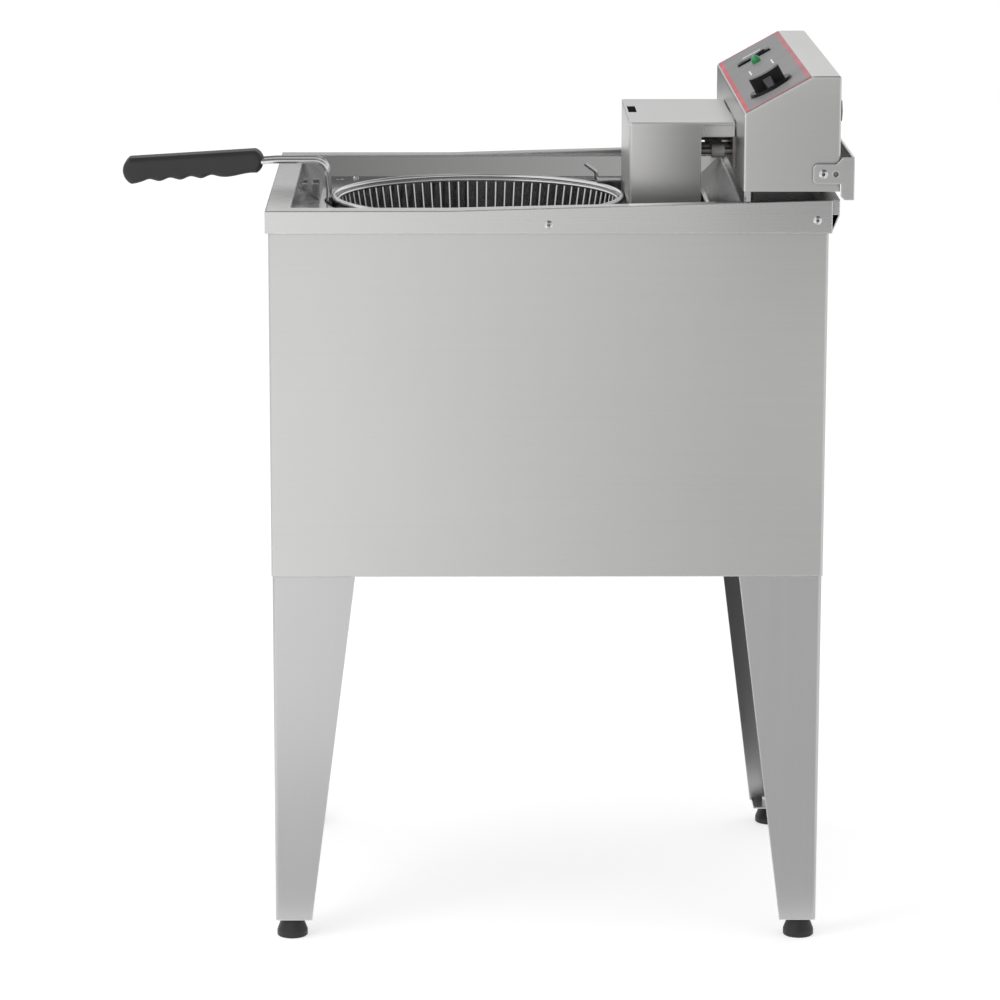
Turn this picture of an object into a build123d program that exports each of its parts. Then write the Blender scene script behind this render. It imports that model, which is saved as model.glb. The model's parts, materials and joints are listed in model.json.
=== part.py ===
"""Electric deep fryer on legs: a round basket in a deep oil tank and a lift-off control head.

Millimetres. +Z is up, +X points to the rear, where the control head stands, and +Y is the user's left.
The origin is on the floor under the axis of the basket, which is also the middle of the whole length.
"""

import os
from math import atan2, cos, degrees, hypot, pi, radians, sin, sqrt

from build123d import *

os.makedirs("parts", exist_ok=True)

# Sheet metal and general clearances
sheet = 1.5
leg_sheet = 2.0
touch_gap = 0.3
running_gap = 0.06
screw_gap = 0.25

# Top rim, from which the plan of the machine follows
rim_width = 504.0
rim_height = 868.0
rim_skirt = 26.0
front_flange = 28.0
side_flange = 26.0
length_over_width = 142.0
rear_rise = 12.0
rear_hem = 11.0
rim_edge = 1.2
rise_from_rear = 436.0
skirt_screw_radius = 2.5

# Basket hoop, handle rods and the tank round them
basket_margin = 80.5
hoop_wire = 3.5
rod_radius = 3.2
tank_gap = 2.1
half_width = rim_width / 2
hoop_radius = half_width - basket_margin
tank_radius = hoop_radius + hoop_wire + 2 * rod_radius + tank_gap

# Well and ledge
well_inset = 28.0
well_depth = 23.0
ledge_front = 4.5
ledge_rear = 4.0
ledge_height = rim_height - well_depth
rim_length = rim_width + length_over_width
rim_front = -(tank_radius + ledge_front + well_inset + front_flange)
rim_rear = rim_front + rim_length
rise_start = rim_rear - rise_from_rear
lip_top = rim_height + rear_rise
lug_sheet = 3.0
lug_gap = 2.0
lug_drop = 1.0
lug_fins = ((6.5, 12.0), (18.0, 26.0))
ledge_hole_radius = 4.5
ledge_hole_in = 18.5
ledge_hole_from_side = 28.0
ledge_screw_radius = 2.0
ledge_screw_in = 38.0
ledge_screw_from_side = 18.0

# Control head, placed by the rim's rear and top
head_overlap = 101.5
head_depth = 109.5
head_inset = 3.0
head_gap = 9.5
head_face = 88.5
head_height = 131.5
head_crest = 32.0
head_bend = 3.0
head_edge = 2.0
head_sheet = 1.2
head_front = rim_rear - head_overlap
head_half = half_width - head_inset
head_width = 2 * head_half
head_bottom = lip_top + head_gap
panel_low = head_bottom + head_face
head_top = head_bottom + head_height

# Oil tank
tank_behind = 29.5
tank_drop = 247.0
tank_corner = 30.0
tank_floor_radius = 22.0
tank_rear = head_front - tank_behind
tank_bottom = ledge_height - tank_drop

# Cabinet under the rim
cabinet_inset = 3.5
cabinet_bottom = 440.0
cabinet_return = 14.0
cabinet_bend = 3.0
panel_seam = 0.6

# Legs and levelling feet
leg_inset = 1.1
leg_top_width = 96.0
leg_bottom_width = 43.0
leg_bottom = 23.0
leg_bend = 4.0
foot_inset = 23.5
foot_radius = 18.0
foot_neck_radius = 12.0
foot_base = 7.0
stud_radius = 5.0
stud_length = 58.0
nut_height = 8.0
nut_radius = 9.2
leg_bolt_radius = 4.0

# Panel of the control head
overlay_margin = 2.0
overlay_thickness = 0.8
knob_along = 41.8
knob_inset = 82.0
knob_skirt_radius = 26.5
knob_skirt = 3.0
knob_height = 19.5
knob_bar_length = 38.0
knob_bar_width = 14.0
knob_bar_round = 3.0
knob_scoop = 1.8
pointer_width = 11.0
pointer_height = 10.5
pointer_margin = 1.5
shaft_radius = 3.0
switch_along = 43.3
switch_inset = 119.2
switch_length = 44.0
switch_width = 14.0
switch_rim = 2.0
bezel_height = 2.6
switch_depth = 28.0
rocker_length = 34.0
rocker_width = 5.6
rocker_height = 4.0
rocker_tilt = 5.0
pivot_radius = 1.5
pivot_reach = 0.8
pivot_depth = 2.5
lamp_radius = 5.6
lamp_height = 9.0
lamp_stem = 4.0
lamp_inside = 14.0
lamp_offset = 45.3
thermostat_size = 38.0
thermostat_depth = 28.0
shaft_inside = 8.0
shaft_in_knob = 13.0
knob_side = -(head_half - knob_inset)
switch_side = head_half - switch_inset
lamp_side = switch_side - lamp_offset

# Rear of the head and what stands under and inside it
gland_inset = 93.0
gland_rise = 81.5
gland_radius = 9.0
gland_reach = 9.0
cable_radius = 5.0
reset_inset = 73.0
reset_rise = 76.5
reset_radius = 4.5
reset_reach = 5.0
stand_radius = 4.8
contactor_behind = 78.0
contactor_side = 40.0
contactor_size = 56.0
contactor_height = 62.0
terminal_behind = 70.0
terminal_side = -40.0
terminal_height = 24.0
terminal_pitch = 12.0
gland_side = -(head_half - gland_inset)
gland_height = head_bottom + gland_rise
reset_side = head_half - reset_inset
reset_height = head_bottom + reset_rise

# Guard over the element risers
guard_gap = 1.0
guard_end_gap = 1.5
guard_wall = 84.0
guard_flange = 3.0
guard_recess = 0.5
guard_tab = 24.0
guard_width = 230.0
guard_rise = 62.0
guard_band = 17.0
guard_dip = 43.0
guard_slot_length = 60.0
guard_slot_width = 10.0
guard_slot_side = 14.0
guard_sheet = 1.2
guard_bend = 3.0
guard_front = hoop_radius + hoop_wire + guard_gap
guard_reach = head_front - guard_end_gap - guard_front
guard_rear = guard_front + guard_reach
guard_top = head_bottom + guard_rise
guard_bottom = ledge_height - guard_dip

# Heating element
element_above_floor = 74.0
element_tube = 4.25
element_bend = 22.0
element_front = -118.0
riser_gap = 43.0
element_outer = 88.0
element_inner = 40.0
entry_rise = 25.5
entry_inside = 24.0
bead_radius = 8.0
bead_length = 15.0
bead_gap = 9.0
flange_width = 204.0
flange_height = 36.0
flange_thickness = 3.0
clamps_at = (-52.0, 62.0)
clamp_width = 14.0
clamp_bar = 1.9
clamp_pillar = 63.0
sensor_side = 18.0
sensor_radius = 4.0
sensor_length = 86.0
capillary_radius = 1.2
element_height = tank_bottom + element_above_floor
element_riser = tank_rear - riser_gap
element_entry = head_bottom + entry_rise
entry_end = head_front + entry_inside

# Basket under its hoop, and its handle
hoop_rise = 4.0
ring_wire = 2.0
ring_drop = 4.05
ring_inset = 3.95
side_wire = 1.25
side_wire_count = 92
basket_taper = 30.0
basket_floor_pitch = 12.0
basket_floor_wire = 1.5
hook_wire = 2.5
hook_angle = 32.5
hook_rise = 10.0
hook_arm = 13.5
hook_end_gap = 1.5
rod_side = 12.5
rod_rise = 43.0
rod_bend = 15.0
rod_lean = 3.0
rod_straight = 9.0
rod_below = 22.0
rod_in_grip = 90.0
grip_gap = 12.0
grip_length = 168.0
grip_width = 34.0
grip_thickness = 30.0
grip_slope = 3.9
grip_groove = 3.2
grip_edge = 9.0
hoop_height = ledge_height + hoop_rise
rod_height = hoop_height + rod_rise
grip_inner = rim_front - grip_gap

# Rear hooks of the head and rear lip of the rim
lip_depth = 8.5
lip_height = 18.0
lip_inset = 3.0
yoke_sheet = 2.5
yoke_behind = 24.0
pivot_behind = 90.0
pivot_rise = 20.5
yoke_arm = 23.0
yoke_rise = 39.5
yoke_screw_radius = 2.7
yoke_hole_radius = 3.2
yoke_plate = 20.3
yoke_notch = 5.0
yoke_spacer = 1.5
yoke_foot_width = 120.0
yoke_rear = rim_rear + yoke_behind
yoke_pivot = head_front + pivot_behind
yoke_pivot_height = head_bottom + pivot_rise
yoke_plate_top = head_bottom + yoke_rise

# Sizes that follow from the ones above
rim_middle = (rim_front + rim_rear) / 2
skirt_bottom = rim_height - rim_skirt
well_front = rim_front + front_flange
well_rear = tank_rear + ledge_rear + well_inset
well_length = well_rear - well_front
well_middle = (well_front + well_rear) / 2
well_width = rim_width - 2 * side_flange
ledge_length = well_length - 2 * well_inset
ledge_width = well_width - 2 * well_inset
well_top = rim_height - sheet
ledge_start = well_front + well_inset
ledge_hole_x = ledge_start + ledge_hole_in
ledge_hole_y = ledge_width / 2 - ledge_hole_from_side
ledge_screw_x = ledge_start + ledge_screw_in
ledge_screw_y = ledge_width / 2 - ledge_screw_from_side
cabinet_length = rim_length - 2 * cabinet_inset
cabinet_width = rim_width - 2 * cabinet_inset
cabinet_front = rim_front + cabinet_inset
cabinet_rear = rim_rear - cabinet_inset
cabinet_top = rim_height - sheet
cabinet_half = cabinet_width / 2
head_rear = head_front + head_depth
panel_high = head_rear - head_crest
stand_x = head_front + stand_radius + 1.0
stand_side = head_half - stand_radius - 1.0
slope_run = panel_high - head_front
slope_rise = head_top - panel_low
slope_length = hypot(slope_run, slope_rise)
slope_angle = degrees(atan2(slope_rise, slope_run))
skirt_screws_at = ((rim_middle, skirt_bottom + 10.0), (rim_rear - 17.0, skirt_bottom + 15.0))
skirt_screw_length = cabinet_inset + sheet + 3.0
guard_half = guard_width / 2
clamp_top = element_height + element_tube + 2.0
basket_bottom = clamp_top + touch_gap
wire_gap = 0.1
ring_radius = hoop_radius - ring_inset
wire_top_radius = ring_radius + ring_wire + side_wire + 2 * wire_gap
wire_top = hoop_height - hoop_wire - 2 * wire_gap
wire_bottom = basket_bottom + 2 * basket_floor_wire + 1.0
wire_bottom_radius = wire_top_radius - basket_taper

corners = {
    "front_right": (-1, -1),
    "front_left": (-1, 1),
    "rear_right": (1, -1),
    "rear_left": (1, 1),
}
sides = {"right": -1, "left": 1}


def save(piece, name):
    """Label a finished piece and write its STEP file."""
    piece.part.label = name
    export_step(piece.part, f"parts/{name}.step")


def rim_top_at(x):
    """Height of the rim's upper edge along its sides."""
    rise = (x - rise_start) / (rim_rear - rise_start)
    return rim_height + rear_rise * max(0.0, rise)


def panel_plane(along, side, above=0.0):
    """Plane on the sloped panel: along the slope from its low edge, across, and above the sheet."""
    run = cos(radians(slope_angle))
    rise = sin(radians(slope_angle))
    x = head_front + along * run - above * rise
    z = panel_low + along * rise + above * run
    return Plane(origin=(x, side, z), x_dir=(run, 0, rise), z_dir=(-rise, 0, run))


def side_plane(x, side, z):
    """Plane on a side face, its normal pointing outwards along Y."""
    return Plane(origin=(x, side, z), x_dir=(1, 0, 0), z_dir=(0, 1 if side > 0 else -1, 0))


# Raised rear hem of the rim: the hollow inside of the folded edge
hem_outline = [
    (rise_start, -half_width),
    (rim_rear, -half_width),
    (rim_rear, half_width),
    (rise_start, half_width),
    (rise_start, half_width - side_flange),
    (rim_rear - rear_hem, half_width - rear_hem),
    (rim_rear - rear_hem, rear_hem - half_width),
    (rise_start, side_flange - half_width),
]
with BuildPart() as hem_core:
    with BuildSketch(Plane.XY.offset(rim_height - sheet)):
        with BuildLine():
            Polyline(*hem_outline, close=True)
        make_face()
        offset(amount=-sheet, kind=Kind.INTERSECTION, mode=Mode.REPLACE)
    extrude(amount=rear_rise + sheet)
    with BuildSketch(Plane.XZ):
        with BuildLine():
            Polyline(
                (rise_start, rim_height - sheet),
                (rim_rear, rim_height - sheet + rear_rise),
                (rim_rear, rim_height + 3 * rear_rise),
                (rise_start, rim_height + 3 * rear_rise),
                close=True,
            )
        make_face()
    extrude(amount=rim_width, both=True, mode=Mode.SUBTRACT)

with BuildPart() as top_frame:
    with BuildSketch(Plane.XY.offset(skirt_bottom)):
        with Locations((rim_middle, 0)):
            Rectangle(rim_length, rim_width)
            Rectangle(rim_length - 2 * sheet, rim_width - 2 * sheet, mode=Mode.SUBTRACT)
    extrude(amount=rim_skirt)
    with BuildSketch(Plane.XY.offset(rim_height - sheet)):
        with Locations((rim_middle, 0)):
            Rectangle(rim_length, rim_width)
        with Locations((well_middle, 0)):
            Rectangle(well_length, well_width, mode=Mode.SUBTRACT)
    extrude(amount=sheet)
    with BuildSketch(Plane.XY.offset(rim_height)):
        with BuildLine():
            Polyline(*hem_outline, close=True)
        make_face()
    extrude(amount=rear_rise)
    with BuildSketch(Plane.XZ):
        with BuildLine():
            Polyline(
                (rise_start, rim_height),
                (rim_rear, rim_height + rear_rise),
                (rim_rear, rim_height + 3 * rear_rise),
                (rise_start, rim_height + 3 * rear_rise),
                close=True,
            )
        make_face()
    extrude(amount=rim_width, both=True, mode=Mode.SUBTRACT)
    top_edges = [e for e in edges() if e.center().Z > rim_height - 0.1]
    side_edges = [e for e in top_edges if abs(e.center().Y) > half_width - 0.1]
    front_edges = [e for e in top_edges if e.center().X < rim_front + 0.1]
    upright_edges = edges().filter_by(Axis.Z)
    fillet([e for e in side_edges + front_edges if e not in upright_edges], rim_edge)
    add(hem_core.part, mode=Mode.SUBTRACT)
    with BuildSketch(Plane.XZ):
        with Locations(*skirt_screws_at):
            Circle(skirt_screw_radius + screw_gap)
    extrude(amount=rim_width, both=True, mode=Mode.SUBTRACT)
save(top_frame, "top_frame")

# Sloped well under the rim's opening, with the flat ledge around the tank's mouth
with BuildPart() as well_inside:
    with BuildSketch(Plane.XY.offset(well_top)):
        with Locations((well_middle, 0)):
            Rectangle(well_length, well_width)
    with BuildSketch(Plane.XY.offset(ledge_height)):
        with Locations((well_middle, 0)):
            Rectangle(ledge_length, ledge_width)
    loft()

with BuildPart() as well_liner:
    with BuildSketch(Plane.XY.offset(well_top)):
        with Locations((well_middle, 0)):
            Rectangle(well_length + 2 * sheet, well_width + 2 * sheet)
    with BuildSketch(Plane.XY.offset(ledge_height - sheet)):
        with Locations((well_middle, 0)):
            Rectangle(ledge_length + 2 * sheet, ledge_width + 2 * sheet)
    loft()
    add(well_inside.part, mode=Mode.SUBTRACT)
    with BuildSketch(Plane.XY.offset(ledge_height - sheet)):
        Circle(tank_radius)
        with Locations((tank_rear / 2, 0)):
            Rectangle(tank_rear, 2 * tank_radius)
        rear_corners = [v for v in vertices() if v.X > tank_rear - 1]
        fillet(rear_corners, tank_corner)
    extrude(amount=sheet, mode=Mode.SUBTRACT)
    with BuildSketch(Plane.XY.offset(ledge_height - sheet)):
        for sign in sides.values():
            with Locations((ledge_hole_x, sign * ledge_hole_y)):
                Circle(ledge_hole_radius)
            with Locations((ledge_screw_x, sign * ledge_screw_y)):
                Circle(ledge_screw_radius + screw_gap)
    extrude(amount=sheet, mode=Mode.SUBTRACT)
save(well_liner, "well_liner")

# Oil tank: half round at the front, round the basket, and straight to the rear
tank_depth = ledge_height - sheet - tank_bottom
with BuildPart() as tank_inside:
    with BuildSketch(Plane.XY.offset(tank_bottom + sheet)):
        Circle(tank_radius)
        with Locations((tank_rear / 2, 0)):
            Rectangle(tank_rear, 2 * tank_radius)
        rear_corners = [v for v in vertices() if v.X > tank_rear - 1]
        fillet(rear_corners, tank_corner)
    extrude(amount=tank_depth)
    fillet(edges().group_by(Axis.Z)[0], tank_floor_radius - sheet)

with BuildPart() as oil_tank:
    with BuildSketch(Plane.XY.offset(tank_bottom)):
        Circle(tank_radius + sheet)
        with Locations((tank_rear / 2 + sheet / 2, 0)):
            Rectangle(tank_rear + sheet, 2 * tank_radius + 2 * sheet)
        rear_corners = [v for v in vertices() if v.X > tank_rear - 1]
        fillet(rear_corners, tank_corner + sheet)
    extrude(amount=tank_depth)
    fillet(edges().group_by(Axis.Z)[0], tank_floor_radius)
    add(tank_inside.part, mode=Mode.SUBTRACT)
save(oil_tank, "oil_tank")

# Upright fins on the well's front slope, two on either side of the handle rods
slope_ratio = (well_top - ledge_height) / well_inset
lug_top = rim_height - lug_drop
with BuildPart() as handle_guides:
    for sign in (-1, 1):
        middle = sign * (rod_side + rod_radius + lug_gap + lug_sheet / 2)
        for fin_front, fin_rear in lug_fins:
            with BuildSketch(Plane.XZ.offset(-middle - lug_sheet / 2)):
                with BuildLine():
                    Polyline(
                        (well_front + fin_front, lug_top),
                        (well_front + fin_rear, lug_top),
                        (well_front + fin_rear, well_top - fin_rear * slope_ratio),
                        (well_front + fin_front, well_top - fin_front * slope_ratio),
                        close=True,
                    )
                make_face()
            extrude(amount=lug_sheet)
save(handle_guides, "handle_guides")

# Cabinet panels
panel_height = cabinet_top - cabinet_bottom
for name, sign in sides.items():
    with BuildPart() as side_panel:
        with BuildSketch(Plane.XY.offset(cabinet_bottom)):
            with Locations((rim_middle, sign * (cabinet_half - cabinet_return / 2))):
                Rectangle(cabinet_length, cabinet_return)
        extrude(amount=panel_height)
        outer = [e for e in edges().filter_by(Axis.Z) if abs(e.center().Y) > cabinet_half - 1]
        fillet(outer, cabinet_bend)
        with BuildSketch(Plane.XY.offset(cabinet_bottom)):
            with Locations((rim_middle, sign * (cabinet_half - cabinet_return / 2 - sheet))):
                Rectangle(cabinet_length - 2 * sheet, cabinet_return)
        extrude(amount=panel_height, mode=Mode.SUBTRACT)
        with BuildSketch(Plane.XZ):
            with Locations(*skirt_screws_at):
                Circle(skirt_screw_radius + screw_gap)
        extrude(amount=rim_width, both=True, mode=Mode.SUBTRACT)
    save(side_panel, f"side_panel_{name}")

end_width = cabinet_width - 2 * cabinet_return - 2 * panel_seam
for name, x in (("front_panel", cabinet_front + sheet / 2), ("rear_panel", cabinet_rear - sheet / 2)):
    with BuildPart(Plane.XY.offset(cabinet_bottom + panel_height / 2)) as end_panel:
        with Locations((x, 0)):
            Box(sheet, end_width, panel_height)
    save(end_panel, name)

# Floor of the cabinet, with a flange turned up along each edge
floor_flange = 18.0
floor_length = cabinet_length - 2 * sheet - 2 * touch_gap
floor_width = cabinet_width - 2 * sheet - 2 * touch_gap
leg_corner_x = cabinet_length / 2 - leg_inset
leg_corner_y = cabinet_half - leg_inset
leg_bolt_inset = leg_top_width * 0.3
leg_bolts_at = []
for along, across in corners.values():
    corner_x = rim_middle + along * leg_corner_x
    corner_y = across * leg_corner_y
    leg_bolts_at.append((corner_x - along * leg_bolt_inset * 2, corner_y - across * leg_bolt_inset))
    leg_bolts_at.append((corner_x - along * leg_bolt_inset, corner_y - across * leg_bolt_inset * 2))
with BuildPart() as cabinet_floor:
    with BuildSketch(Plane.XY.offset(cabinet_bottom)):
        with Locations((rim_middle, 0)):
            Rectangle(floor_length, floor_width)
    extrude(amount=floor_flange)
    with BuildSketch(Plane.XY.offset(cabinet_bottom + sheet)):
        with Locations((rim_middle, 0)):
            Rectangle(floor_length - 2 * sheet, floor_width - 2 * sheet)
    extrude(amount=floor_flange, mode=Mode.SUBTRACT)
    with BuildSketch(Plane.XY.offset(cabinet_bottom)):
        with Locations(*leg_bolts_at):
            Circle(leg_bolt_radius + screw_gap)
    extrude(amount=sheet, mode=Mode.SUBTRACT)
save(cabinet_floor, "cabinet_floor")


# Folded, tapered legs with a top plate and a foot plate, and the levelling feet under them
feet_at = {}
for name, (along, across) in corners.items():
    foot_x = rim_middle + along * (rim_length / 2 - foot_inset)
    feet_at[name] = (foot_x, across * (half_width - foot_inset))
for name, (along, across) in corners.items():
    corner = (rim_middle + along * leg_corner_x, across * leg_corner_y)
    foot_at = feet_at[name]
    with BuildPart() as leg:
        with BuildSketch(Plane.XZ.offset(-corner[1])):
            with BuildLine():
                Polyline(
                    (corner[0], leg_bottom),
                    (corner[0] - along * leg_bottom_width, leg_bottom),
                    (corner[0] - along * leg_top_width, cabinet_bottom),
                    (corner[0], cabinet_bottom),
                    close=True,
                )
            make_face()
        extrude(amount=across * leg_sheet)
        with BuildSketch(Plane.YZ.offset(corner[0])):
            with BuildLine():
                Polyline(
                    (corner[1], leg_bottom),
                    (corner[1] - across * leg_bottom_width, leg_bottom),
                    (corner[1] - across * leg_top_width, cabinet_bottom),
                    (corner[1], cabinet_bottom),
                    close=True,
                )
            make_face()
        extrude(amount=-along * leg_sheet)
        with BuildSketch(Plane.XY.offset(leg_bottom)):
            with Locations((corner[0] - along * leg_bend / 2, corner[1] - across * leg_bend / 2)):
                Rectangle(leg_bend, leg_bend)
        extrude(amount=cabinet_bottom - leg_bottom)
        upright = edges().filter_by(Axis.Z)
        fillet(upright.sort_by_distance((corner[0], corner[1], cabinet_bottom / 2))[0], leg_bend)
        plate = leg_bottom_width - 2 * leg_bend
        plate_x = corner[0] - along * leg_bottom_width / 2
        plate_y = corner[1] - across * leg_bottom_width / 2
        with BuildSketch(Plane.XY.offset(leg_bottom)):
            with Locations((plate_x, plate_y)):
                Rectangle(plate + 2 * leg_sheet, plate + 2 * leg_sheet)
            with Locations(foot_at):
                Circle(stud_radius + screw_gap, mode=Mode.SUBTRACT)
        extrude(amount=leg_sheet)
        with BuildSketch(Plane.XY.offset(cabinet_bottom - leg_sheet)):
            with BuildLine():
                tip = leg_top_width - leg_bend
                start = leg_bend / 2
                Polyline(
                    (corner[0] - along * start, corner[1] - across * start),
                    (corner[0] - along * tip, corner[1] - across * start),
                    (corner[0] - along * tip, corner[1] - across * leg_top_width / 2),
                    (corner[0] - along * leg_top_width / 2, corner[1] - across * tip),
                    (corner[0] - along * start, corner[1] - across * tip),
                    close=True,
                )
            make_face()
            with Locations(*leg_bolts_at):
                Circle(leg_bolt_radius + screw_gap, mode=Mode.SUBTRACT)
        extrude(amount=leg_sheet)
    save(leg, f"leg_{name}")

    with BuildPart() as foot_pad:
        pad_top = leg_bottom - touch_gap
        with BuildSketch(Plane.XZ.offset(-foot_at[1])):
            with BuildLine():
                Polyline(
                    (foot_at[0], 0),
                    (foot_at[0] + foot_radius - 1, 0),
                    (foot_at[0] + foot_radius, 1),
                    (foot_at[0] + foot_radius, foot_base),
                    (foot_at[0] + foot_neck_radius, pad_top),
                    (foot_at[0], pad_top),
                    close=True,
                )
            make_face()
        revolve(axis=Axis((foot_at[0], foot_at[1], 0), (0, 0, 1)))
        with BuildSketch(Plane.XY.offset(pad_top)):
            with Locations(foot_at):
                Circle(stud_radius + running_gap)
        extrude(amount=-(pad_top - foot_base), mode=Mode.SUBTRACT)
    save(foot_pad, f"foot_pad_{name}")

    with BuildPart(Plane.XY.offset(foot_base + running_gap)) as foot_stud:
        with Locations(foot_at):
            Cylinder(stud_radius, stud_length, align=(Align.CENTER, Align.CENTER, Align.MIN))
        chamfer(edges().group_by(Axis.Z)[-1], 0.8)
    save(foot_stud, f"foot_stud_{name}")

# Weld nuts inside the legs for the studs of the feet
with BuildPart() as foot_nuts:
    with BuildSketch(Plane.XY.offset(leg_bottom + leg_sheet)):
        with Locations(*feet_at.values()):
            RegularPolygon(nut_radius, 6)
            Circle(stud_radius + running_gap, mode=Mode.SUBTRACT)
    extrude(amount=nut_height)
save(foot_nuts, "foot_nuts")

# Bolts that hold the legs to the cabinet floor
bolt_head = 5.0
with BuildPart() as leg_bolts:
    with BuildSketch(Plane.XY.offset(cabinet_bottom - leg_sheet - bolt_head)):
        with Locations(*leg_bolts_at):
            RegularPolygon(leg_bolt_radius * 1.85, 6)
    extrude(amount=bolt_head)
    with BuildSketch(Plane.XY.offset(cabinet_bottom - leg_sheet)):
        with Locations(*leg_bolts_at):
            Circle(leg_bolt_radius)
    extrude(amount=leg_sheet + sheet)
    with BuildSketch(Plane.XY.offset(cabinet_bottom + sheet)):
        with Locations(*leg_bolts_at):
            RegularPolygon(leg_bolt_radius * 1.85, 6)
    extrude(amount=bolt_head)
save(leg_bolts, "leg_bolts")

# Rear lip: a bar across the rim's rear, with a sloped gusset under it
with BuildPart() as rear_lip:
    with BuildSketch(Plane.XZ):
        with BuildLine():
            Polyline(
                (rim_rear, skirt_bottom + 1),
                (rim_rear + lip_depth, lip_top - lip_height),
                (rim_rear + lip_depth, lip_top),
                (rim_rear, lip_top),
                close=True,
            )
        make_face()
    extrude(amount=half_width - lip_inset, both=True)
    with BuildSketch(Plane.XZ):
        with BuildLine():
            Polyline(
                (rim_rear, skirt_bottom + 4),
                (rim_rear + lip_depth - sheet, lip_top - lip_height + 1),
                (rim_rear, lip_top - lip_height + 1),
                close=True,
            )
        make_face()
    extrude(amount=half_width, both=True, mode=Mode.SUBTRACT)
save(rear_lip, "rear_lip")


def button_screw(seat, radius, head, length):
    """Button-head screw on its seat plane: head before it, shank behind it, hexagon socket in the head."""
    across = Plane(origin=seat.origin, x_dir=seat.x_dir, z_dir=-seat.y_dir)
    brim = radius * 2
    crown = head * 0.8
    sphere = (brim**2 + crown**2) / (2 * crown)
    middle = (brim / 2, head - sphere + sqrt(sphere**2 - brim**2 / 4))
    with BuildSketch(across) as turned:
        with BuildLine():
            Polyline((0, head), (0, -length), (radius, -length), (radius, 0), (brim, 0), (brim, head - crown))
            ThreePointArc((brim, head - crown), middle, (0, head))
        make_face()
    revolve(turned.sketch, axis=Axis(seat.origin, seat.z_dir))
    with BuildSketch(seat.offset(head)) as socket:
        RegularPolygon(radius * 0.8, 6)
    extrude(socket.sketch, amount=-head * 0.6, mode=Mode.SUBTRACT)


# Screws on the ledge, beside the small holes
with BuildPart() as ledge_screws:
    for sign in sides.values():
        seat = Plane((ledge_screw_x, sign * ledge_screw_y, ledge_height))
        button_screw(seat, ledge_screw_radius, 3.2, sheet + 6)
save(ledge_screws, "ledge_screws")

# Screws through the rim's skirt into the side panels
with BuildPart() as skirt_screws:
    for sign in sides.values():
        for x, z in skirt_screws_at:
            button_screw(side_plane(x, sign * half_width, z), skirt_screw_radius, 2.6, skirt_screw_length)
save(skirt_screws, "skirt_screws")

# Shell of the control head: one folded sheet with closed ends, open underneath
with BuildPart() as head_shell:
    with BuildSketch(Plane.XZ):
        with BuildLine():
            Polyline(
                (head_front, head_bottom),
                (head_front, panel_low),
                (panel_high, head_top),
                (head_rear, head_top),
                (head_rear, head_bottom),
                close=True,
            )
        make_face()
    extrude(amount=head_half, both=True)
    fillet([e for e in edges().filter_by(Axis.Y) if e.center().Z > head_bottom + 1], head_bend)
    ends = faces().filter_by(Axis.Y).edges()
    fillet([e for e in ends if e.center().Z > head_bottom + 1], head_edge)
    offset(amount=-head_sheet, openings=faces().sort_by(Axis.Z)[0])
    with BuildSketch(panel_plane(knob_along, knob_side)):
        Circle(shaft_radius + 2 * screw_gap)
    extrude(amount=4 * head_sheet, both=True, mode=Mode.SUBTRACT)
    with BuildSketch(panel_plane(switch_along, switch_side)):
        Rectangle(switch_length - 2 * switch_rim + screw_gap, switch_width - switch_rim + screw_gap)
    extrude(amount=4 * head_sheet, both=True, mode=Mode.SUBTRACT)
    with BuildSketch(panel_plane(switch_along, lamp_side)):
        Circle(lamp_stem + screw_gap)
    extrude(amount=4 * head_sheet, both=True, mode=Mode.SUBTRACT)
    with BuildSketch(Plane.YZ.offset(head_front)):
        with Locations((0, element_entry)):
            Rectangle(flange_width - 12, flange_height - 12)
    extrude(amount=4 * head_sheet, both=True, mode=Mode.SUBTRACT)
    with BuildSketch(Plane.YZ.offset(head_rear)):
        with Locations((gland_side, gland_height)):
            Circle(gland_radius + screw_gap)
        with Locations((reset_side, reset_height)):
            Circle(reset_radius + screw_gap)
    extrude(amount=4 * head_sheet, both=True, mode=Mode.SUBTRACT)
    with BuildSketch(Plane.XZ):
        with Locations((yoke_pivot, yoke_pivot_height)):
            Circle(yoke_screw_radius + screw_gap)
    extrude(amount=head_width, both=True, mode=Mode.SUBTRACT)
save(head_shell, "head_shell")

# Bottom cover of the head
with BuildPart(Plane.XY.offset(head_bottom)) as head_cover:
    with Locations(((head_front + head_rear) / 2, 0)):
        Box(
            head_depth - 2 * head_sheet - 2 * touch_gap,
            head_width - 2 * head_sheet - 2 * touch_gap,
            head_sheet,
            align=(Align.CENTER, Align.CENTER, Align.MIN),
        )
save(head_cover, "head_cover")

# Printed overlay on the slope
with BuildPart() as panel_overlay:
    with BuildSketch(panel_plane(slope_length / 2, 0)):
        Rectangle(slope_length - 2 * overlay_margin, head_width - 2 * overlay_margin)
    extrude(amount=overlay_thickness)
    with BuildSketch(panel_plane(knob_along, knob_side)):
        Circle(shaft_radius + 2 * screw_gap)
    extrude(amount=2 * overlay_thickness, mode=Mode.SUBTRACT)
    with BuildSketch(panel_plane(switch_along, switch_side)):
        Rectangle(switch_length - 2 * switch_rim + screw_gap, switch_width - switch_rim + screw_gap)
    extrude(amount=2 * overlay_thickness, mode=Mode.SUBTRACT)
    with BuildSketch(panel_plane(switch_along, lamp_side)):
        Circle(lamp_stem + screw_gap)
    extrude(amount=2 * overlay_thickness, mode=Mode.SUBTRACT)
save(panel_overlay, "panel_overlay")

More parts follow.
